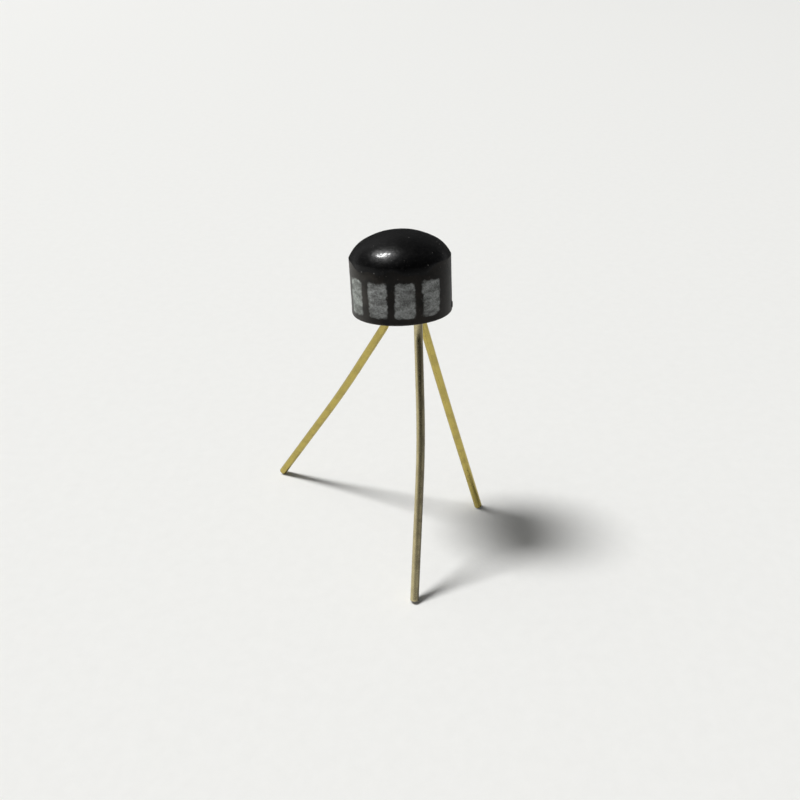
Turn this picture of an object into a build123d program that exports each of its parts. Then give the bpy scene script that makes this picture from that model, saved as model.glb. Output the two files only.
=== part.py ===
from build123d import *
from math import cos, radians, sin, tan
import os

# A small signal transistor: a moulded cup with three nail-headed leads through its floor, the chip on one
# head, gold wires to the other two, and epoxy cast over them into a dome. The leads are bent out by hand
# into a tripod on which the part stands. Millimetres and degrees, +Z up, the floor at z = 0.

# Moulded cup
body_diameter = 5.2
cup_height = 2.94
cup_wall = 0.45
cup_floor = 1.0
seat_edge_radius = 0.12
cavity_corner = 0.25
rim_key = 0.15

# Gate mark low on the cup's side, where the moulding was broken from its runner
gate_diameter = 0.32
gate_rise = 0.36
gate_proud = 0.03
gate_turn = -8

# Cast epoxy: it stands on the rim's outer edge, with a round shoulder and a flatter crown
dome_height = 1.27
crown_radius = 3.8
crown_sweep = 30

# Leads: round wire headed at its inner end, on a pin circle in quarter turns
lead_diameter = 0.45
pin_circle = 2.54
pin_step = 90
base_pin_turn = 39
head_diameter = 0.85
head_thickness = 0.15
head_rise = 0.55

# Stance: height of the seating face's centre, and the way the body leans
stand_height = 13.38
lean_left = 2.5
lean_back = 8.2

# Bends: each lead runs straight out of the cup, bends towards its foot, and has a faint knee on the way
exit_straight = 0.25
knee_length = 2.0
knee_share = 0.41

# Each lead: depth of its bend, its foot's reach and turn from the body's axis, and how far its knee bows
collector_drop = 0.85
collector_reach = 8.65
collector_turn = 152.6
collector_bow_in = 0.18
collector_bow_side = 0

base_drop = 0.75
base_reach = 4.68
base_turn = 6.0
base_bow_in = 0.04
base_bow_side = 0

emitter_drop = 0.75
emitter_reach = 7.54
emitter_turn = -85.1
emitter_bow_in = 0
emitter_bow_side = 0.24

# Chip and bond wires
chip_side = 0.42
chip_thickness = 0.16
pad_step = 0.14
wire_diameter = 0.038
ball_diameter = 0.1
ball_height = 0.04
loop_height = 0.38
loop_radius = 0.16

body_radius = body_diameter / 2
cavity_radius = body_radius - cup_wall
lead_radius = lead_diameter / 2
pin_radius = pin_circle / 2
collector_pin_turn = base_pin_turn + pin_step
emitter_pin_turn = base_pin_turn - pin_step
head_level = cup_floor + head_rise
chip_level = head_level + chip_thickness
dome_top = cup_height + dome_height


def polar(radius, turn, height=0):
    """A point at a radius and a turn about the vertical, at a height."""
    return Vector(radius * cos(radians(turn)), radius * sin(radians(turn)), height)


# The origin is on the floor under the middle of the three feet
collector_foot = polar(collector_reach, collector_turn)
base_foot = polar(base_reach, base_turn)
emitter_foot = polar(emitter_reach, emitter_turn)
feet = [collector_foot, base_foot, emitter_foot]
middle = Vector(
    (min(foot.X for foot in feet) + max(foot.X for foot in feet)) / 2,
    (min(foot.Y for foot in feet) + max(foot.Y for foot in feet)) / 2,
)

# The seating face is the flat underside of the cup, and its normal runs up the leaning body's axis
lean = Vector(-tan(radians(lean_left)), tan(radians(lean_back)), 1)
seat = Plane(origin=Vector(0, 0, stand_height) - middle, x_dir=Axis.Y.direction.cross(lean), z_dir=lean)
body_axis = Axis(seat.origin, seat.z_dir)


def on_seat(plane):
    """A plane given in the seating face's frame, placed in space."""
    return Plane(seat * plane)


def lead_route(pin_turn, foot, drop, bow_in, bow_side):
    """Corner points and bend radii of a lead, from under its head to its foot on the floor."""
    hole = seat.from_local_coords(polar(pin_radius, pin_turn))
    root = hole + seat.z_dir * (head_level - head_thickness)
    corner = hole - seat.z_dir * drop
    touch = foot - middle
    run = touch - corner
    side = Axis.Z.direction.cross(run).normalized()
    inward = side.cross(run).normalized()
    knee = corner + run * knee_share + inward * bow_in + side * bow_side
    upper = (knee - corner).normalized()
    lower = (touch - knee).normalized()
    bend_radius = (drop - exit_straight) / tan(radians(upper.get_angle(-seat.z_dir) / 2))
    knee_radius = knee_length / tan(radians(lower.get_angle(upper) / 2))
    # A square-cut end rests on the lowest point of its edge
    end = touch - lower * lead_radius * tan(radians(lower.get_angle(-Axis.Z.direction)))
    return [root, corner, knee, end], [bend_radius, knee_radius]


section = on_seat(Plane.XZ)
os.makedirs("parts", exist_ok=True)

# Leads
lead_table = {
    "collector": (collector_pin_turn, collector_foot, collector_drop, collector_bow_in, collector_bow_side),
    "base": (base_pin_turn, base_foot, base_drop, base_bow_in, base_bow_side),
    "emitter": (emitter_pin_turn, emitter_foot, emitter_drop, emitter_bow_in, emitter_bow_side),
}
leads = []
for name, lead_values in lead_table.items():
    corners, radii = lead_route(*lead_values)
    with BuildPart() as lead:
        with BuildLine() as route:
            FilletPolyline(*corners, radius=radii)
        with BuildSketch(Plane(origin=route.line @ 0, z_dir=route.line % 0)):
            Circle(lead_radius)
        sweep()
        with BuildSketch(seat.offset(head_level)):
            with PolarLocations(pin_radius, 1, start_angle=lead_values[0]):
                Circle(head_diameter / 2)
        extrude(amount=-head_thickness)
    lead.part.label = f"{name}_lead"
    export_step(lead.part, f"parts/{name}_lead.step")
    leads.append(lead.part)

# Half section of the cup's inside, with a keyed edge at the rim. The casting takes the same shape
with BuildSketch(section) as cavity:
    with BuildLine():
        wall_foot = (cavity_radius, cup_floor)
        key_foot = (cavity_radius, cup_height - rim_key)
        key_top = (cavity_radius + rim_key, cup_height)
        Polyline((0, cup_floor), wall_foot, key_foot, key_top, (0, cup_height), close=True)
    make_face()
    chamfer(vertices().sort_by_distance(wall_foot)[0], cavity_corner)

# Moulded cup: a rounded seating edge, a hole in the floor for each lead, and the gate mark
with BuildPart() as moulded_cup:
    with BuildSketch(seat):
        Circle(body_radius)
    extrude(amount=cup_height)
    fillet(edges().sort_by(body_axis)[0], seat_edge_radius)
    gate_tip = polar(body_radius + gate_proud, gate_turn, gate_rise)
    with BuildSketch(on_seat(Plane(origin=gate_tip, z_dir=polar(body_radius, gate_turn)))):
        Circle(gate_diameter / 2)
    extrude(amount=-gate_proud - cup_wall)
    revolve(cavity.sketch, axis=body_axis, mode=Mode.SUBTRACT)
    with BuildSketch(seat):
        with PolarLocations(pin_radius, len(leads), emitter_pin_turn, len(leads) * pin_step):
            Circle(lead_radius)
    extrude(amount=cup_floor, mode=Mode.SUBTRACT)
moulded_cup.part.label = "moulded_cup"
export_step(moulded_cup.part, "parts/moulded_cup.step")

# Silicon chip, brazed to the collector lead's head
with BuildPart() as silicon_chip:
    with BuildSketch(seat.offset(head_level)):
        with PolarLocations(pin_radius, 1, start_angle=collector_pin_turn):
            Rectangle(chip_side, chip_side)
    extrude(amount=chip_thickness)
silicon_chip.part.label = "silicon_chip"
export_step(silicon_chip.part, "parts/silicon_chip.step")

# Bond wires: up from a ball on the chip's pad, over, and down to a wedge on the head of another lead
chip_top = polar(pin_radius, collector_pin_turn, chip_level)
wires = []
for name, pin_turn in {"base": base_pin_turn, "emitter": emitter_pin_turn}.items():
    over_head = polar(pin_radius, pin_turn, chip_level)
    along = (over_head - chip_top).normalized()
    pad = chip_top + along * pad_step
    span = (over_head - pad).length
    loop_plane = on_seat(Plane(origin=pad, x_dir=along, z_dir=along.cross(Axis.Z.direction)))
    past_head = span * (1 + wire_diameter / (loop_height + chip_thickness))
    loop_corners = [(0, 0), (0, loop_height), (past_head, -chip_thickness - wire_diameter)]
    with BuildPart() as bond_wire:
        with BuildLine(loop_plane):
            FilletPolyline(*loop_corners, radius=loop_radius)
        with BuildSketch(on_seat(Plane(origin=pad))):
            Circle(wire_diameter / 2)
        sweep()
        split(bisect_by=seat.offset(head_level))
        with BuildSketch(on_seat(Plane(origin=pad))):
            Circle(ball_diameter / 2)
        extrude(amount=ball_height)
    bond_wire.part.label = f"{name}_bond_wire"
    export_step(bond_wire.part, f"parts/{name}_bond_wire.step")
    wires.append(bond_wire.part)

# Epoxy cast round the leads, chip and wires: it fills the cup, covers the rim and stands up as a dome
with BuildPart() as epoxy_dome:
    with BuildSketch(section):
        add(cavity.sketch_local)
        with BuildLine():
            Polyline((0, dome_top), (0, cup_height), (body_radius, cup_height))
            crown = JernArc((0, dome_top), Axis.X.direction, crown_radius, -crown_sweep)
            TangentArc(crown @ 1, (body_radius, cup_height), tangent=crown % 1)
        make_face()
    revolve(axis=body_axis)
    add([*leads, silicon_chip.part, *wires], mode=Mode.SUBTRACT)
epoxy_dome.part.label = "epoxy_dome"
export_step(epoxy_dome.part, "parts/epoxy_dome.step")
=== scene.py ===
from math import atan2, cos, degrees, exp, pi, radians, sin, tan
import bmesh
import bpy
from mathutils import Matrix, Vector, noise


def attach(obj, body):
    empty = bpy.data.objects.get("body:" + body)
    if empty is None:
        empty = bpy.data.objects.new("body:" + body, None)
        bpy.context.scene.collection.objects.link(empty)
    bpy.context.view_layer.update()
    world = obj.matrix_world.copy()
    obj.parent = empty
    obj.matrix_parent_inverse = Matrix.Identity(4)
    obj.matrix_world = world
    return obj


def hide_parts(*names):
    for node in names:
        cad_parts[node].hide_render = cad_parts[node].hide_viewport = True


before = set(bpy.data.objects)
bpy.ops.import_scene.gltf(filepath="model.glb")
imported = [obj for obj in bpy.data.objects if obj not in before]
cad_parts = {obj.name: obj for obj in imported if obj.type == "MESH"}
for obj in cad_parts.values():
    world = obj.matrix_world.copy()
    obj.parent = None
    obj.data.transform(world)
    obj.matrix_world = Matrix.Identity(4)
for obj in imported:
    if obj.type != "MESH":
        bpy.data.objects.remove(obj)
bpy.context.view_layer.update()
bpy.context.scene.view_settings.view_transform = "Standard"

# Leads. Each is a length of round nickel-iron wire, gold plated and headed like a nail at its inner end.
# It was made straight, set in the cup's floor, and bent out by hand until the part stood on the three
# square-cut ends, its body leaning a little back and left. Lengths here and below are millimetres.
METRES = 0.001
wire_radius = 0.225
nail_radius = 0.425
nail_thickness = 0.15
nail_top = 1.55
cut_round = 0.03
cut_steps = 3
pin_radius = 1.27
exit_straight = 0.25
knee_length = 2.0
knee_share = 0.41
wire_sides = 40
wire_rings = 150
crease_angle = radians(38)
stand_height = 13.38
lean_left = radians(2.5)
lean_back = radians(8.2)
# Where each foot stands from under the body: its reach, and its turn in degrees
feet = {"collector": (8.65, 152.6), "base": (4.68, 6.0), "emitter": (7.54, -85.1)}
# How each lead is bent: the turn of its hole, the depth of its bend, and its knee's bow inwards and sideways
lead_bends = {
    "collector": (129, 0.85, 0.18, 0),
    "base": (39, 0.75, 0.04, 0),
    "emitter": (-51, 0.75, 0, 0.24),
}
# The plating's bright and dull shades, and the painted shade along one side of the wire with how much of it
sound_gold = ((0.52, 0.42, 0.12, 1), (0.37, 0.30, 0.10, 1), (0.38, 0.31, 0.11, 1), 0.35)
# The front lead's shaded copy: greyer shades and one side painted fully dark, all painted shade
shaded_gold = ((0.56, 0.485, 0.28, 1), (0.43, 0.37, 0.215, 1), (0.145, 0.127, 0.085, 1), 1.0)
bare_wire = (0.36, 0.33, 0.28, 1)
# The plating's finish: its least roughness, what drawn lines and patches add, and the lines' depth and shape
plating_smoothest = 0.15
lines_roughen = 0.14
patches_roughen = 0.10
patches_dull = 0.6
line_depth = 0.004
line_shape = (1, 1, 0.03)
# Across the wire, where the painted shade on one side begins and is whole, and how ragged it is; along it,
# the bare cut
shaded_side_edge = (-0.05, 0.18)
shaded_side_ragged = 0.06
bare_edge = (0.02, 0.006)


def polar(radius, turn, height=0):
    """A point at a radius and a turn in degrees about the vertical, at a height."""
    return Vector((radius * cos(radians(turn)), radius * sin(radians(turn)), height))


# The part's origin is on the floor, under the middle of the three feet
foot_points = {name: polar(*place) for name, place in feet.items()}
foot_x = [point.x for point in foot_points.values()]
foot_y = [point.y for point in foot_points.values()]
middle = Vector((min(foot_x) + max(foot_x), min(foot_y) + max(foot_y), 0)) / 2

# The seat is the flat underside of the cup, square to the leaning body
body_up = Vector((-tan(lean_left), tan(lean_back), 1)).normalized()
body_right = Vector((0, 1, 0)).cross(body_up).normalized()
seat = Matrix((body_right, body_up.cross(body_right), body_up)).transposed().to_4x4()
seat.translation = Vector((0, 0, stand_height)) - middle


def lead_route(pin_turn, touch, drop, bow_in, bow_side):
    """Corner points and bend radii of a lead, from the top of its nail head to its foot."""
    hole = seat @ polar(pin_radius, pin_turn)
    corner = hole - body_up * drop
    run = touch - corner
    side = Vector((0, 0, 1)).cross(run).normalized()
    inward = side.cross(run).normalized()
    knee = corner + run * knee_share + inward * bow_in + side * bow_side
    upper = (knee - corner).normalized()
    lower = (touch - knee).normalized()
    bend_radius = (drop - exit_straight) / tan(upper.angle(-body_up) / 2)
    knee_radius = knee_length / tan(lower.angle(upper) / 2)
    # A square-cut end rests on the lowest point of its edge
    end = touch - lower * wire_radius * tan(lower.angle(Vector((0, 0, -1))))
    return [hole + body_up * nail_top, corner, knee, end], [bend_radius, knee_radius]


def moved_on(place, length, bend):
    """A place carried on along a straight run, or round an arc given by its inward direction and radius."""
    if bend is None:
        return place @ Matrix.Translation((0, 0, length))
    inward, radius = bend
    turn = Matrix.Rotation(length / radius, 4, Vector((0, 0, 1)).cross(inward))
    return place @ Matrix.Translation(inward * radius) @ turn @ Matrix.Translation(-inward * radius)


def runs_and_arcs(corners, radii):
    """The route as (length, starting place, bend), with the wire's own Z along it."""
    place = seat.to_3x3().to_4x4() @ Matrix.Rotation(pi, 4, "X")
    place.translation = corners[0]
    stretches = []
    for before, corner, after, radius in zip(corners, corners[1:], corners[2:], radii):
        incoming = (corner - before).normalized()
        outgoing = (after - corner).normalized()
        turn = incoming.angle(outgoing)
        straight = (corner - place.translation).length - radius * tan(turn / 2)
        stretches.append((straight, place, None))
        place = moved_on(place, straight, None)
        across = (outgoing - incoming * incoming.dot(outgoing)).normalized()
        bend = (place.to_3x3().inverted() @ across, radius)
        stretches.append((radius * turn, place, bend))
        place = moved_on(place, radius * turn, bend)
    stretches.append(((corners[-1] - place.translation).length, place, None))
    return stretches


def verts_of(geometry):
    """The points among an operator's results."""
    return [item for item in geometry if isinstance(item, bmesh.types.BMVert)]


def rounded(bm, edges, radius, steps):
    """Rounds edges off."""
    bmesh.ops.bevel(bm, geom=edges, offset=radius, affect="EDGES", segments=steps, profile=0.5, material=-1)


def straight_lead(length):
    """A straight lead along its own Z: nail head, shank, and a square-cut end with its edge just broken."""
    bm = bmesh.new()
    bmesh.ops.create_circle(bm, cap_ends=True, segments=wire_sides, radius=nail_radius)
    nail = bmesh.ops.extrude_face_region(bm, geom=bm.faces[:])["geom"]
    bmesh.ops.translate(bm, vec=(0, 0, nail_thickness), verts=verts_of(nail))
    under = max(bm.faces, key=lambda face: face.calc_center_median().z)
    bmesh.ops.inset_region(bm, faces=[under], thickness=nail_radius - wire_radius)
    shank = bmesh.ops.extrude_face_region(bm, geom=[under])["geom"]
    bmesh.ops.delete(bm, geom=[under], context="FACES_ONLY")
    bmesh.ops.translate(bm, vec=(0, 0, length - nail_thickness), verts=verts_of(shank))
    long_edges = [edge for edge in bm.edges if edge.calc_length() > length / 2]
    bmesh.ops.subdivide_edges(bm, edges=long_edges, cuts=wire_rings, use_grid_fill=True)
    cut_edge = [edge for edge in bm.edges if all(vert.co.z > length - cut_round / 2 for vert in edge.verts)]
    rounded(bm, cut_edge, cut_round, cut_steps)
    bmesh.ops.recalc_face_normals(bm, faces=bm.faces[:])
    return bm


def bend_lead(bm, stretches):
    """Bends the straight lead along its route, and keeps each point's straight place, from the cut end."""
    length = sum(stretch[0] for stretch in stretches)
    straight = bm.verts.layers.float_vector.new("straight_wire")
    for vert in bm.verts:
        vert[straight] = Vector((vert.co.x, vert.co.y, length - vert.co.z))
        left = vert.co.z
        for span, place, bend in stretches[:-1]:
            if left <= span:
                break
            left -= span
        else:
            _, place, bend = stretches[-1]
        vert.co = moved_on(place, left, bend) @ Vector((vert.co.x, vert.co.y, 0))


def piece(bm, name, node, material):
    """Makes the mesh a finished piece in metres, riding on the body in place of one of the part's solids."""
    bmesh.ops.scale(bm, vec=(METRES, METRES, METRES), verts=bm.verts[:])
    mesh = bpy.data.meshes.new(name)
    bm.to_mesh(mesh)
    bm.free()
    mesh.shade_smooth()
    mesh.set_sharp_from_angle(angle=crease_angle)
    mesh.materials.append(material)
    made = bpy.data.objects.new(name, mesh)
    bpy.context.scene.collection.objects.link(made)
    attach(made, "root")
    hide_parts(node)


def add(tree, kind, inputs=None, **settings):
    """A shader node with its settings, and its inputs by name or number: a value, or a socket to link."""
    made = tree.nodes.new("ShaderNode" + kind)
    for name, value in settings.items():
        setattr(made, name, value)
    for name, value in (inputs or {}).items():
        if isinstance(value, bpy.types.NodeSocket):
            tree.links.new(value, made.inputs[name])
        else:
            made.inputs[name].default_value = value
    return made


def maths(tree, operation, *values):
    """A sum, product or the like of numbers that change over a surface."""
    return add(tree, "Math", dict(enumerate(values)), operation=operation).outputs[0]


def fade(tree, value, start, end, low=0.0, high=1.0):
    """A smooth step of a value from low at start to high at end."""
    ends = {"Value": value, "From Min": start, "From Max": end, "To Min": low, "To Max": high}
    return add(tree, "MapRange", ends, interpolation_type="SMOOTHSTEP").outputs["Result"]


def mixed(tree, factor, first, second):
    """A colour between two colours."""
    return add(tree, "Mix", {0: factor, 6: first, 7: second}, data_type="RGBA").outputs[2]


def clouds(tree, place, per_mm, detail=3.0, roughness=0.5):
    """Soft noise over a surface, at so many clouds to the millimetre."""
    wanted = {"Vector": place, "Scale": per_mm, "Detail": detail, "Roughness": roughness}
    return add(tree, "TexNoise", wanted).outputs["Fac"]


def new_group(name, inputs, outputs):
    """An empty node group with named inputs and outputs, what it is given, and what it puts out."""
    group = bpy.data.node_groups.new(name, "ShaderNodeTree")
    for socket, kind in inputs.items():
        group.interface.new_socket(socket, in_out="INPUT", socket_type="NodeSocket" + kind)
    for socket, kind in outputs.items():
        group.interface.new_socket(socket, in_out="OUTPUT", socket_type="NodeSocket" + kind)
    given = group.nodes.new("NodeGroupInput").outputs
    out = group.nodes.new("NodeGroupOutput").inputs
    return group, given, out


def new_material(name):
    """An empty material, its nodes and its shader."""
    made = bpy.data.materials.new(name)
    made.use_nodes = True
    return made, made.node_tree, made.node_tree.nodes["Principled BSDF"]


def bumped(tree, shader, height, depth):
    """Gives a shader a relief of so many millimetres."""
    relief = add(tree, "Bump", {"Height": height, "Strength": 1.0, "Distance": depth * METRES})
    tree.links.new(relief.outputs["Normal"], shader.inputs["Normal"])


def drawn_plating():
    """Node group: gold over drawn wire, with lines along it, dull patches, painted shade along one side and
    a bare cut.
    """
    shades = {"Bright": "Color", "Dull": "Color", "Shaded Side": "Color", "Side Shading": "Float"}
    results = {"Colour": "Color", "Roughness": "Float", "Lines": "Float"}
    group, given, out = new_group("drawn_plating", shades, results)
    straight = add(group, "Attribute", attribute_name="straight_wire").outputs["Vector"]
    along = add(group, "SeparateXYZ", {"Vector": straight}).outputs
    drawn = add(group, "Mapping", {"Vector": straight, "Scale": line_shape}).outputs["Vector"]
    lines = clouds(group, drawn, per_mm=16.0, detail=4.0, roughness=0.6)
    patches = fade(group, clouds(group, straight, per_mm=1.6, detail=5.0, roughness=0.6), 0.35, 0.68)
    specks = fade(group, clouds(group, straight, per_mm=18.0, detail=2.0), 0.66, 0.74, high=0.8)
    dulled = maths(group, "MAXIMUM", maths(group, "MULTIPLY", patches, patches_dull), specks)
    uneven = maths(group, "MULTIPLY", maths(group, "SUBTRACT", patches, 0.5), shaded_side_ragged)
    # Painted shade along one side of the wire, ragged at its edge
    side = fade(group, maths(group, "ADD", along["X"], uneven), *shaded_side_edge, high=given["Side Shading"])
    gold = mixed(group, side, mixed(group, dulled, given["Bright"], given["Dull"]), given["Shaded Side"])
    cut = fade(group, along["Z"], *bare_edge)
    group.links.new(mixed(group, cut, gold, bare_wire), out["Colour"])
    rough_lines = maths(group, "MULTIPLY", lines, lines_roughen)
    rough_patches = maths(group, "MULTIPLY", patches, patches_roughen)
    rough = maths(group, "ADD", maths(group, "ADD", rough_lines, rough_patches), plating_smoothest)
    group.links.new(rough, out["Roughness"])
    group.links.new(lines, out["Lines"])
    return group


plating_group = drawn_plating()


def gold_plated(name, bright, dull, rubbed, side_shading):
    """Gold-plated wire in its own shades, with painted shade along one side."""
    made, tree, shader = new_material(name)
    plating_shades = {"Bright": bright, "Dull": dull, "Shaded Side": rubbed, "Side Shading": side_shading}
    plating = add(tree, "Group", plating_shades, node_tree=plating_group).outputs
    tree.links.new(plating["Colour"], shader.inputs["Base Color"])
    tree.links.new(plating["Roughness"], shader.inputs["Roughness"])
    shader.inputs["Metallic"].default_value = 1.0
    bumped(tree, shader, plating["Lines"], line_depth)
    return made


# The front lead takes the shaded copy of the plating, greyer and with a dark side painted as shade
sound_plating = gold_plated("sound_plating", *sound_gold)
shaded_plating = gold_plated("shaded_plating", *shaded_gold)
platings = {"collector": sound_plating, "base": sound_plating, "emitter": shaded_plating}
for name, (pin_turn, drop, bow_in, bow_side) in lead_bends.items():
    route = runs_and_arcs(*lead_route(pin_turn, foot_points[name] - middle, drop, bow_in, bow_side))
    lead = straight_lead(sum(stretch[0] for stretch in route))
    bend_lead(lead, route)
    piece(lead, f"{name}_wire", f"{name}_lead", platings[name])

# Moulded cup. A round cup of dark filled resin, moulded with three lead holes in its thick floor, a broken
# gate low on one side, and a row of plain ink patches stamped on its wall and since rubbed thin.
body_radius = 2.6
cup_height = 2.94
cup_wall = 0.45
cup_floor = 1.0
cavity_corner = 0.25
rim_key = 0.15
seat_round = 0.12
seat_steps = 6
rim_round = 0.03
rim_steps = 3
turn_steps = 160
merge_distance = 0.0001
ring_tolerance = 0.001
gate_radius = 0.16
gate_sides = 24
gate_rise = 0.36
gate_proud = 0.03
gate_turn = -8
gate_inset_share = 0.35
break_per_mm = 6
cavity_radius = body_radius - cup_wall
# The row of ink patches: its first and last middles along the wall from the front, and each one's size
ink_first = -4.08
ink_last = 1.64
ink_count = 5
ink_width = 1.04
ink_middle = 1.27
ink_half = 0.90
ink_corner = 0.3
# How the ink is worn: how ragged and how soft its edge is, and the shape of the wipes across it
ink_ragged = 0.40
ink_edge = (0.05, -0.07)
wipe_shape = (1, 1, 2.6)
resin_dark = (0.005, 0.0047, 0.0042, 1)
resin_brown = (0.017, 0.0138, 0.0112, 1)
resin_filler = (0.105, 0.099, 0.088, 1)
thin_ink = (0.31, 0.32, 0.315, 1)
# The ink's painted lighter shade, where the lamp lights it
left_lit_ink = (0.42, 0.45, 0.42, 1)
# Where the rub fades in down to the seat, and along the wall both ends of the left side's painted light and
# of the ink's painted light
seat_rub = (0.16, 0.02)
left_light_begins = (-0.9, -2.9)
left_light_ends = (-6.6, -4.0)
ink_lit_leftwards = (-1.2, -2.9)
# The resin's finish: its least roughness, what grain and ink add, how strongly filler shows, and the relief
resin_smoothest = 0.42
grain_roughens = 0.22
ink_roughens = 0.12
filler_shows = 0.35
resin_relief = 0.006
grain_relief_share = 0.7
ink_relief_share = 0.6


def turned(bm):
    """Turns an open half section, in the XZ plane, into a closed round body."""
    bmesh.ops.spin(
        bm, geom=bm.verts[:] + bm.edges[:], cent=(0, 0, 0), axis=(0, 0, 1),
        angle=2 * pi, steps=turn_steps, use_merge=True,
    )
    bmesh.ops.remove_doubles(bm, verts=bm.verts[:], dist=merge_distance)
    bmesh.ops.recalc_face_normals(bm, faces=bm.faces[:])


def run_on(bm, last, points):
    """Carries a half section on from its last point through (radius, height) points."""
    for radius, height in points:
        last = bmesh.ops.extrude_vert_indiv(bm, verts=[last])["verts"][0]
        last.co = Vector((radius, 0, height))


def ring_edges(bm, radius, height):
    """The edges of the ring at a radius and height."""
    def on_ring(vert):
        off = Vector((vert.co.xy.length - radius, vert.co.z - height))
        return off.length < ring_tolerance
    return [edge for edge in bm.edges if all(on_ring(vert) for vert in edge.verts)]


cavity_outline = [
    (cavity_radius + rim_key, cup_height),
    (cavity_radius, cup_height - rim_key),
    (cavity_radius, cup_floor + cavity_corner),
    (cavity_radius - cavity_corner, cup_floor),
    (0, cup_floor),
]
cup = bmesh.new()
run_on(cup, cup.verts.new((0, 0, 0)), [(body_radius, 0), (body_radius, cup_height), *cavity_outline])
turned(cup)
rounded(cup, ring_edges(cup, body_radius, 0), seat_round, seat_steps)
rounded(cup, ring_edges(cup, body_radius, cup_height), rim_round, rim_steps)

# The gate's stub, with its end left rough where it broke off
gate_place = Matrix.Translation(polar(body_radius - cup_wall / 2, gate_turn, gate_rise))
gate_place = gate_place @ Matrix.Rotation(radians(gate_turn), 4, "Z") @ Matrix.Rotation(pi / 2, 4, "Y")
gate = bmesh.ops.create_circle(
    cup, cap_ends=True, segments=gate_sides, radius=gate_radius, matrix=gate_place,
)
stub = bmesh.ops.extrude_face_region(cup, geom=[gate["verts"][0].link_faces[0]])["geom"]
bmesh.ops.translate(cup, vec=polar(gate_proud + cup_wall / 2, gate_turn), verts=verts_of(stub))
broken = [item for item in stub if isinstance(item, bmesh.types.BMFace)]
bmesh.ops.inset_region(cup, faces=broken, thickness=gate_radius * gate_inset_share)
for vert in broken[0].verts:
    vert.co += polar(gate_proud * noise.noise(vert.co * break_per_mm), gate_turn)
bmesh.ops.poke(cup, faces=broken)
bmesh.ops.recalc_face_normals(cup, faces=cup.faces[:])
bmesh.ops.transform(cup, matrix=seat, verts=cup.verts[:])


def body_places():
    """Node group: a point's place on the body in millimetres, its arc from the front, and its rise."""
    group, _, out = new_group("body_places", {}, {"Place": "Vector", "Arc": "Float", "Rise": "Float"})
    wanted = {
        "Vector": add(group, "TexCoord").outputs["Object"],
        "Location": seat.translation * METRES,
        "Rotation": seat.to_euler(),
        "Scale": (METRES, METRES, METRES),
    }
    place = add(group, "Mapping", wanted, vector_type="TEXTURE").outputs["Vector"]
    parts = add(group, "SeparateXYZ", {"Vector": place}).outputs
    turn = maths(group, "ARCTAN2", parts["X"], maths(group, "MULTIPLY", parts["Y"], -1.0))
    group.links.new(place, out["Place"])
    group.links.new(maths(group, "MULTIPLY", turn, body_radius), out["Arc"])
    group.links.new(parts["Z"], out["Rise"])
    return group


def scattered_flecks():
    """Node group: flecks of filler or dust in a share of the cells, so many cells to the millimetre."""
    inputs = {"Place": "Vector", "Cells": "Float", "Share": "Float"}
    group, given, out = new_group("scattered_flecks", inputs, {"Flecks": "Float"})
    cells = add(group, "TexVoronoi", {"Vector": given["Place"], "Scale": given["Cells"]}).outputs
    chosen = add(group, "SeparateColor", {"Color": cells["Color"]}).outputs["Red"]
    kept = maths(group, "LESS_THAN", chosen, given["Share"])
    dots = fade(group, cells["Distance"], 0.34, 0.16)
    group.links.new(maths(group, "MULTIPLY", kept, dots), out["Flecks"])
    return group


body_group = body_places()
flecks_group = scattered_flecks()


def flecked(tree, place, cells, share):
    """Flecks over a surface."""
    wanted = {"Place": place, "Cells": cells, "Share": share}
    return add(tree, "Group", wanted, node_tree=flecks_group).outputs["Flecks"]


def ink_left(tree, place, arc, rise):
    """How much ink is left on the wall: plain rounded patches, rubbed thin and ragged at their edges."""
    step = (ink_last - ink_first) / (ink_count - 1)
    row_half = (ink_last - ink_first + ink_width) / 2
    from_middle = maths(tree, "PINGPONG", maths(tree, "SUBTRACT", arc, ink_first), step / 2)
    past_side = maths(tree, "SUBTRACT", from_middle, ink_width / 2)
    from_row = maths(tree, "ABSOLUTE", maths(tree, "SUBTRACT", arc, (ink_first + ink_last) / 2))
    past_row = maths(tree, "SUBTRACT", from_row, row_half)
    from_level = maths(tree, "ABSOLUTE", maths(tree, "SUBTRACT", rise, ink_middle))
    past_end = maths(tree, "SUBTRACT", from_level, ink_half)
    outside = maths(tree, "SMOOTH_MAX", maths(tree, "MAXIMUM", past_side, past_row), past_end, ink_corner)
    ragged = maths(tree, "SUBTRACT", clouds(tree, place, per_mm=2.4, detail=6.0, roughness=0.68), 0.5)
    shape = fade(tree, maths(tree, "ADD", outside, maths(tree, "MULTIPLY", ragged, ink_ragged)), *ink_edge)
    wiped = add(tree, "Mapping", {"Vector": place, "Scale": wipe_shape}).outputs["Vector"]
    rubbed = fade(tree, clouds(tree, wiped, per_mm=1.3, detail=6.0, roughness=0.66), 0.36, 0.62, low=0.38)
    grain = fade(tree, clouds(tree, place, per_mm=11.0, detail=4.0, roughness=0.65), 0.34, 0.60, low=0.5)
    return maths(tree, "MULTIPLY", shape, maths(tree, "MULTIPLY", rubbed, grain))


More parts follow.
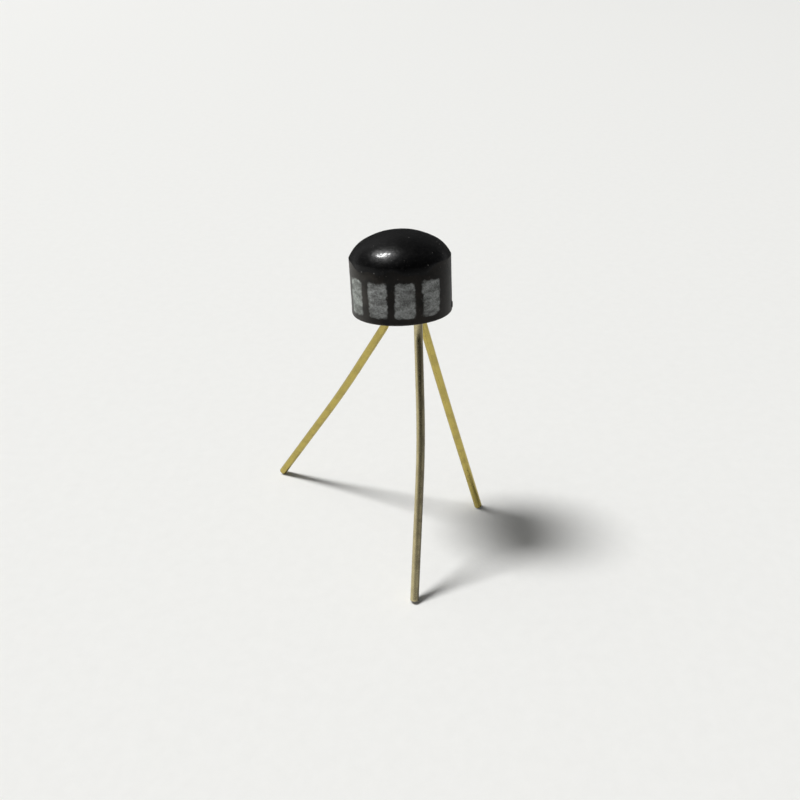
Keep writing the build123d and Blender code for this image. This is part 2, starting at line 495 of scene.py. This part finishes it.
def moulded_resin():
    """Matte dark grey-brown resin with paler filler, rubbed edges, painted light on its left side, and the
    worn ink, painted lighter on the left.
    """
    made, tree, shader = new_material("moulded_resin")
    on_body = add(tree, "Group", node_tree=body_group).outputs
    place, arc, rise = on_body["Place"], on_body["Arc"], on_body["Rise"]
    mottle = fade(tree, clouds(tree, place, per_mm=1.1, detail=6.0, roughness=0.62), 0.32, 0.68)
    grain = clouds(tree, place, per_mm=22.0, detail=4.0, roughness=0.6)
    specks = maths(tree, "MULTIPLY", flecked(tree, place, cells=9.0, share=0.10), filler_shows)
    handled = fade(tree, clouds(tree, place, per_mm=4.0, detail=4.0), 0.42, 0.62, high=0.35)
    rubbed = maths(tree, "MULTIPLY", fade(tree, rise, *seat_rub), handled)
    # Painted light: the left side, lit by the lamp, is mixed towards the pale filler colour
    lit_left_side = maths(tree, "MULTIPLY", fade(tree, arc, *left_light_begins), fade(tree, arc, *left_light_ends))
    painted_left_light = maths(tree, "MULTIPLY", lit_left_side, fade(tree, mottle, 0.0, 1.0, low=0.36, high=0.56))
    filler_wear_and_painted_light = maths(tree, "MAXIMUM", maths(tree, "MAXIMUM", specks, rubbed), painted_left_light)
    resin = mixed(tree, filler_wear_and_painted_light, mixed(tree, mottle, resin_dark, resin_brown), resin_filler)
    inked = ink_left(tree, place, arc, rise)
    # Painted light: the ink is mixed lighter towards the left, where the lamp lights the wall
    ink = mixed(tree, fade(tree, arc, *ink_lit_leftwards), thin_ink, left_lit_ink)
    tree.links.new(mixed(tree, inked, resin, ink), shader.inputs["Base Color"])
    rough_grain = maths(tree, "MULTIPLY", grain, grain_roughens)
    rough_ink = maths(tree, "MULTIPLY", inked, ink_roughens)
    rough = maths(tree, "ADD", maths(tree, "ADD", rough_grain, rough_ink), resin_smoothest)
    tree.links.new(rough, shader.inputs["Roughness"])
    shader.inputs["Specular IOR Level"].default_value = 0.12
    shader.inputs["Sheen Weight"].default_value = 0.10
    shader.inputs["Sheen Roughness"].default_value = 0.35
    grain_relief = maths(tree, "MULTIPLY", grain, grain_relief_share)
    ink_relief = maths(tree, "MULTIPLY", inked, ink_relief_share)
    bumped(tree, shader, maths(tree, "ADD", grain_relief, ink_relief), resin_relief)
    return made


piece(cup, "cup_moulding", "moulded_cup", moulded_resin())

# Chip and bond wires. A block of silicon is brazed to the collector's nail head, and two fine gold wires run
# from its pads to the other heads. All are sealed in the casting, and keep the shapes that they came with.
# Each look is a light and a dark shade, the grain to the millimetre, and the least and the most roughness.
silicon_look = ((0.33, 0.34, 0.38, 1), (0.20, 0.21, 0.25, 1), 9.0, 0.10, 0.25)
bond_gold_look = ((0.90, 0.70, 0.30, 1), (0.74, 0.55, 0.22, 1), 30.0, 0.18, 0.32)


def on_part(tree):
    """Places on the part in millimetres."""
    place = add(tree, "TexCoord").outputs["Object"]
    return add(tree, "Mapping", {"Vector": place, "Scale": (1 / METRES,) * 3}).outputs["Vector"]


def clouded_metal():
    """Node group: a bright inner metal, clouded between two shades and two finishes at a grain size."""
    inputs = {"Light": "Color", "Dark": "Color", "Grain": "Float", "Smoothest": "Float", "Roughest": "Float"}
    group, given, out = new_group("clouded_metal", inputs, {"Colour": "Color", "Roughness": "Float"})
    grain = clouds(group, on_part(group), given["Grain"], detail=4.0)
    group.links.new(mixed(group, grain, given["Dark"], given["Light"]), out["Colour"])
    rough = fade(group, grain, 0.3, 0.7, low=given["Smoothest"], high=given["Roughest"])
    group.links.new(rough, out["Roughness"])
    return group


clouded_group = clouded_metal()


def sealed_metal(name, light, dark, grain, smoothest, roughest):
    """One of the inner metals."""
    made, tree, shader = new_material(name)
    look = {"Light": light, "Dark": dark, "Grain": grain, "Smoothest": smoothest, "Roughest": roughest}
    metal = add(tree, "Group", look, node_tree=clouded_group).outputs
    tree.links.new(metal["Colour"], shader.inputs["Base Color"])
    tree.links.new(metal["Roughness"], shader.inputs["Roughness"])
    shader.inputs["Metallic"].default_value = 1.0
    return made


silicon = sealed_metal("silicon", *silicon_look)
bond_gold = sealed_metal("bond_gold", *bond_gold_look)
inner_metals = {"silicon_chip": silicon, "base_bond_wire": bond_gold, "emitter_bond_wire": bond_gold}
for name, metal in inner_metals.items():
    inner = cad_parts[name]
    inner.data.materials.clear()
    inner.data.materials.append(metal)

# Epoxy dome. Black epoxy poured into the cup over the chip and wires. It stood up above the rim as it set,
# wet the rim unevenly and ran a little way down the outside. Its skin is glossy, with slow lumps and dust.
dome_height = 1.27
crown_radius = 3.8
crown_sweep = radians(30)
skin_steps = 26
lump_size = 0.9
lump_depth = 0.010
run_lip = 0.012
run_steps = 8
# A run stands out by a share of its depth, and on its way down it does so sooner than evenly by another
run_out_share = 0.18
run_early_share = 0.5
# Where the epoxy ran over the rim: turn about the body, depth below the rim, and spread in degrees
front_runs = [(-138, 0.33, 14), (-112, 0.34, 12), (-84, 0.36, 11), (-64, 0.42, 13)]
back_runs = [(58, 0.22, 20), (150, 0.18, 16)]
epoxy_black = (0.0004, 0.0004, 0.0005, 1)
epoxy_haze = (0.0018, 0.0018, 0.0021, 1)
dust_grey = (0.22, 0.215, 0.20, 1)
# How strongly specks and fine dust show, how high the pimples are, and what share of that a speck stands up
specks_show = 0.45
fine_dust_shows = 0.13
pimple_depth = 0.013
speck_relief_share = 0.5
# The least and most of the skin's roughness and of its wet gloss, and the rise over which the gloss comes
skin_roughness = (0.29, 0.37)
wet_gloss = (0.08, 0.56)
wet_rise = 0.6

# Half section: a flat crown, a round shoulder down to the rim, a lip that runs over it, and the cup's inside
dome_top = cup_height + dome_height
crown_end = Vector((crown_radius * sin(crown_sweep), dome_top - crown_radius * (1 - cos(crown_sweep))))
crown_normal = Vector((sin(crown_sweep), cos(crown_sweep)))
rim_point = Vector((body_radius, cup_height))
to_rim = rim_point - crown_end
shoulder_radius = -to_rim.length_squared / (2 * to_rim.dot(crown_normal))
shoulder_centre = crown_end - crown_normal * shoulder_radius
shoulder_sweep = (rim_point - shoulder_centre).angle(crown_normal)
lip_outside = [(body_radius, cup_height - run_lip * step / run_steps) for step in range(1, run_steps + 1)]
lip_inside = [(body_radius - run_lip, cup_height - run_lip), (body_radius - run_lip, cup_height)]


def arc_on(bm, last, centre, sweep):
    """Carries a half section on round an arc about a (radius, height) centre, to a new last point."""
    turn = bmesh.ops.spin(
        bm, geom=[last], cent=(centre[0], 0, centre[1]), axis=(0, 1, 0), angle=sweep, steps=skin_steps,
    )
    return turn["geom_last"][0]


def run_depth(turn):
    """How far below the rim the epoxy ran at a turn about the body."""
    depth = 0
    for run_turn, run_fall, spread in front_runs + back_runs:
        off = (turn - run_turn + 180) % 360 - 180
        depth += run_fall * exp(-((off / spread) ** 2))
    return max(run_lip, depth)


dome = bmesh.new()
crown_last = arc_on(dome, dome.verts.new((0, 0, dome_top)), (0, dome_top - crown_radius), crown_sweep)
shoulder_last = arc_on(dome, crown_last, shoulder_centre, shoulder_sweep)
run_on(dome, shoulder_last, [*lip_outside, *lip_inside, *cavity_outline])
turned(dome)

# The skin above the rim gets its lumps, and the lip is drawn down into the runs and bulged on its outside
for vert in dome.verts:
    below = cup_height - vert.co.z
    if below < -ring_tolerance:
        vert.co += vert.normal * lump_depth * noise.noise(vert.co / lump_size)
    elif below > ring_tolerance and vert.co.xy.length > body_radius - 2 * run_lip:
        share = below / run_lip
        depth = run_depth(degrees(atan2(vert.co.y, vert.co.x)))
        vert.co.z = cup_height - share * depth
        if vert.co.xy.length > body_radius - run_lip / 2:
            bulge = run_out_share * depth * share * (1 + run_early_share - run_early_share * share)
            vert.co.xy *= 1 + bulge / body_radius
bmesh.ops.recalc_face_normals(dome, faces=dome.faces[:])
bmesh.ops.transform(dome, matrix=seat, verts=dome.verts[:])


def cast_epoxy():
    """Black epoxy under a wet-looking skin, hazed in patches, with dust that dulls it at a glancing look."""
    made, tree, shader = new_material("cast_epoxy")
    on_body = add(tree, "Group", node_tree=body_group).outputs
    place, rise = on_body["Place"], on_body["Rise"]
    hazed = fade(tree, clouds(tree, place, per_mm=1.4, detail=5.0, roughness=0.6), 0.38, 0.68)
    pimples = clouds(tree, place, per_mm=5.5, detail=4.0, roughness=0.6)
    specks = flecked(tree, place, cells=8.0, share=0.03)
    fine_dust = maths(tree, "MULTIPLY", flecked(tree, place, cells=17.0, share=0.10), fine_dust_shows)
    dusty = maths(tree, "MAXIMUM", maths(tree, "MULTIPLY", specks, specks_show), fine_dust)
    epoxy = mixed(tree, hazed, epoxy_black, epoxy_haze)
    tree.links.new(mixed(tree, dusty, epoxy, dust_grey), shader.inputs["Base Color"])
    glancing = add(tree, "LayerWeight", {"Blend": 0.5}).outputs["Facing"]
    dulled = fade(tree, glancing, 0.38, 0.80, high=0.6)
    frosted = fade(tree, pimples, 0.3, 0.7, *skin_roughness)
    tree.links.new(maths(tree, "ADD", frosted, dulled), shader.inputs["Roughness"])
    shader.inputs["Specular IOR Level"].default_value = 0.19
    broken_skin = fade(tree, clouds(tree, place, per_mm=7.0, detail=4.0), 0.62, 0.42, *wet_gloss)
    on_crown = fade(tree, rise, cup_height, cup_height + wet_rise)
    facing = fade(tree, glancing, 0.62, 0.34)
    wet = maths(tree, "MULTIPLY", broken_skin, maths(tree, "MULTIPLY", on_crown, facing))
    tree.links.new(wet, shader.inputs["Coat Weight"])
    shader.inputs["Coat Roughness"].default_value = 0.13
    relief = maths(tree, "ADD", pimples, maths(tree, "MULTIPLY", specks, speck_relief_share))
    bumped(tree, shader, relief, pimple_depth)
    return made


piece(dome, "dome_casting", "epoxy_dome", cast_epoxy())

# Stage. A plain sheet of white paper under one broad lamp, high on the left and a little behind, in a room
# whose walls are pale low down, most on the left, and fade to dim above.
floor_side = 4000
paper_white = (0.905, 0.905, 0.885, 1)
paper_shade = (0.85, 0.85, 0.83, 1)
fibre_depth = 0.02
lamp_towards = (-0.432, 0.119, 0.894)
lamp_distance = 3000
lamp_width = 1000
lamp_depth = 540
lamp_watts = 79
lamp_glow = (1.0, 1.0, 0.98, 1)
left_wall = (0.8, 0.81, 0.81, 1)
other_walls = (0.55, 0.555, 0.56, 1)
dim_front = (0.025, 0.025, 0.025, 1)
dim_ceiling = (0.085, 0.085, 0.085, 1)
# Where one shade of the room passes into another, along X, Y and Z of the way one looks, and round the lamp
left_wall_x = (-0.1, -0.8)
left_wall_y = (0.5, -0.1)
ceiling_y = (-0.75, -0.2)
wall_top_z = (0.06, 0.32)
glow_edge = (0.86, 0.995)

sheet = bmesh.new()
bmesh.ops.create_grid(sheet, x_segments=1, y_segments=1, size=floor_side / 2 * METRES)
floor_mesh = bpy.data.meshes.new("paper")
sheet.to_mesh(floor_mesh)
sheet.free()
paper, paper_tree, paper_shader = new_material("paper")
fibres = clouds(paper_tree, on_part(paper_tree), per_mm=1.3, detail=6.0, roughness=0.65)
paper_tree.links.new(mixed(paper_tree, fibres, paper_shade, paper_white), paper_shader.inputs["Base Color"])
paper_shader.inputs["Roughness"].default_value = 0.9
paper_shader.inputs["Specular IOR Level"].default_value = 0.2
bumped(paper_tree, paper_shader, fibres, fibre_depth)
floor_mesh.materials.append(paper)
floor = bpy.data.objects.new("paper_floor", floor_mesh)
bpy.context.scene.collection.objects.link(floor)

key_towards = Vector(lamp_towards).normalized()
key_across = (Vector((1, 0, 0)) - key_towards * key_towards.x).normalized()
key_turn = Matrix((key_across, key_towards.cross(key_across), key_towards)).transposed()
key = bpy.data.lights.new("key", "AREA")
key.shape = "ELLIPSE"
key.size = lamp_width * METRES
key.size_y = lamp_depth * METRES
key.energy = lamp_watts
key_lamp = bpy.data.objects.new("key", key)
key_lamp.matrix_world = key_turn.to_4x4()
key_lamp.location = key_towards * (lamp_distance * METRES)
bpy.context.scene.collection.objects.link(key_lamp)

world = bpy.data.worlds.new("room")
world.use_nodes = True
bpy.context.scene.world = world
room = world.node_tree
direction = add(room, "TexCoord").outputs["Generated"]
towards = add(room, "SeparateXYZ", {"Vector": direction}).outputs
far_left = fade(room, towards["X"], *left_wall_x)
not_behind = fade(room, towards["Y"], *left_wall_y)
walls = mixed(room, maths(room, "MULTIPLY", far_left, not_behind), other_walls, left_wall)
above = mixed(room, fade(room, towards["Y"], *ceiling_y), dim_front, dim_ceiling)
walls_and_above = mixed(room, fade(room, towards["Z"], *wall_top_z), walls, above)
to_key = {0: direction, 1: key_towards}
beside_key = add(room, "VectorMath", to_key, operation="DOT_PRODUCT").outputs["Value"]
lit_room = mixed(room, fade(room, beside_key, *glow_edge), walls_and_above, lamp_glow)
room.links.new(lit_room, room.nodes["Background"].inputs["Color"])

# Camera. It stands in front of the part, about twice as high, and looks down at it through a lens that
# takes in the whole tripod and its shadow.
camera_place = (1.398, -38.289, 32.661)
look_down = radians(31.7)
sensor_width = 36
focal_length = 38.25
nearest_seen = 1
camera = bpy.data.cameras.new("camera")
camera.sensor_width = sensor_width
camera.lens = focal_length
camera.clip_start = nearest_seen * METRES
view = bpy.data.objects.new("camera", camera)
view.location = Vector(camera_place) * METRES
view.rotation_euler = (pi / 2 - look_down, 0, 0)
bpy.context.scene.collection.objects.link(view)
bpy.context.scene.camera = view
